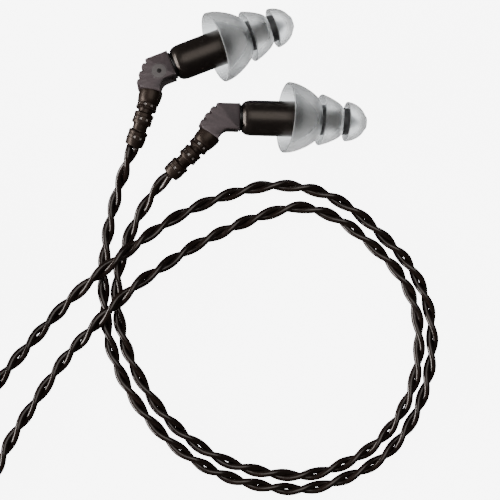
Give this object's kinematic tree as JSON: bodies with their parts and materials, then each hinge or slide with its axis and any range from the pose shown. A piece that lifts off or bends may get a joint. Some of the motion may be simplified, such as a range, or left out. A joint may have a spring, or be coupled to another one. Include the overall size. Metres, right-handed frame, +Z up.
{
  "type": "in ear monitors",
  "caption": "Pair of in-ear monitors with triple-flange tips on slim barrels, pull-off elbow plugs, twisted cords joined at a splitter, a coiled main cord and a 3.5 mm plug.",
  "frame": {"origin": "on the surface the set lies on, under the middle of the box round the two monitors with their elbows and strain reliefs", "axes": "+X the way the right capsule points, from its elbow to its tip; +Y across the capsules, from the right monitor towards the left one; +Z up from the surface"},
  "size_m": [0.13, 0.0882, 0.0124],
  "materials": {
    "tip_silicone": "frosted translucent silicone",
    "nose_plastic": "satin black moulding",
    "filter_mesh": "fine mesh in a green sleeve",
    "barrel_gloss": "gloss black-brown",
    "driver_steel": "drawn steel can",
    "driver_cradle": "soft grey rubber",
    "collar_plastic": "satin black",
    "contact_gold": "gold plated",
    "elbow_plastic": "fine matte plum-brown",
    "pin_gold": "gold plated",
    "badge_plastic": "matte inlay with a plain raised dot",
    "boot_rubber": "matte black-brown rubber",
    "cord_jacket": "two glossy black-brown strands, twisted",
    "main_jacket": "four glossy black-brown strands, twisted",
    "slider_plastic": "matte black",
    "splitter_rubber": "matte black moulding",
    "tie_fabric": "black hook and loop",
    "relief_rubber": "matte black moulding",
    "handle_plastic": "satin black",
    "plug_gold": "gold plated",
    "insulator_plastic": "black insulating rings"
  },
  "bodies": {
    "leads": {"left_elbow": "elbow_plastic", "left_pins": "pin_gold", "left_badge": "badge_plastic", "left_boot": "boot_rubber", "left_cord": "cord_jacket", "right_elbow": "elbow_plastic", "right_pins": "pin_gold", "right_badge": "badge_plastic", "right_boot": "boot_rubber", "right_cord": "cord_jacket", "y_splitter": "splitter_rubber", "main_lead": "main_jacket", "main_coil": "main_jacket", "main_tail": "main_jacket", "coil_tie": "tie_fabric", "plug_relief": "relief_rubber", "plug_handle": "handle_plastic", "plug_sleeve": "plug_gold", "plug_ring": "plug_gold", "plug_tip": "plug_gold", "plug_insulators": "insulator_plastic"},
    "left_capsule": {"left_nose": "nose_plastic", "left_barrel": "barrel_gloss", "left_driver": "driver_steel", "left_driver_boot": "driver_cradle", "left_rear_cap": "collar_plastic", "left_contacts": "contact_gold"},
    "left_tip": {"left_eartip": "tip_silicone"},
    "left_filter_body": {"left_filter": "filter_mesh"},
    "right_capsule": {"right_nose": "nose_plastic", "right_barrel": "barrel_gloss", "right_driver": "driver_steel", "right_driver_boot": "driver_cradle", "right_rear_cap": "collar_plastic", "right_contacts": "contact_gold"},
    "right_tip": {"right_eartip": "tip_silicone"},
    "right_filter_body": {"right_filter": "filter_mesh"},
    "slider": {"cord_slider": "slider_plastic"}
  },
  "joints": [
    {"name": "left_unplug", "type": "slide", "parent": "leads", "child": "left_capsule", "axis": [0.9287, 0.3658, 0.061], "range_m": [0, 0.005]},
    {"name": "left_tip_pull", "type": "slide", "parent": "left_capsule", "child": "left_tip", "axis": [0.9287, 0.3658, 0.061], "range_m": [0, 0.007]},
    {"name": "left_filter_pull", "type": "slide", "parent": "left_capsule", "child": "left_filter_body", "axis": [0.9287, 0.3658, 0.061], "range_m": [0, 0.0036]},
    {"name": "right_unplug", "type": "slide", "parent": "leads", "child": "right_capsule", "axis": [0.998, -0.0174, 0.061], "range_m": [0, 0.005]},
    {"name": "right_tip_pull", "type": "slide", "parent": "right_capsule", "child": "right_tip", "axis": [0.998, -0.0174, 0.061], "range_m": [0, 0.007]},
    {"name": "right_filter_pull", "type": "slide", "parent": "right_capsule", "child": "right_filter_body", "axis": [0.998, -0.0174, 0.061], "range_m": [0, 0.0036]},
    {"name": "slider_travel", "type": "slide", "parent": "leads", "child": "slider", "axis": [-0.8988, 0.4384, 0], "range_m": [-0.0045, 0.005]}
  ]
}
